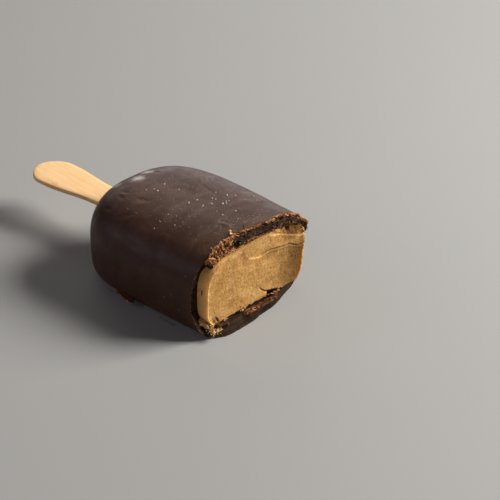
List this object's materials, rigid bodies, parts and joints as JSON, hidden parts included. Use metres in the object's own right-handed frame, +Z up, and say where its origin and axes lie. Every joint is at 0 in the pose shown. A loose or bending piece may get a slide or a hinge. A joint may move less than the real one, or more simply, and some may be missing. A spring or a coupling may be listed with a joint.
{
  "type": "chocolate-coated ice cream bar on a stick",
  "caption": "Ice cream bar on a flat wooden stick, coated in dark chocolate and cut across, so that the coffee ice cream and the thick, crumbled edge of the coating show.",
  "frame": {"origin": "under the middle of the whole bar and stick, at the level of the flat base that it lies on", "axes": "+X along the bar from the stick to the cut face, +Y across its width, +Z up, out of its rounded top"},
  "size_m": [0.1058, 0.0531, 0.0306],
  "materials": {
    "dark_chocolate": "satin",
    "coffee_ice_cream": "matte",
    "wood": "matte",
    "frost": "matte"
  },
  "bodies": {
    "root": {"chocolate_shell": "dark_chocolate", "ice_cream": "coffee_ice_cream", "stick": "wood"}
  },
  "joints": []
}
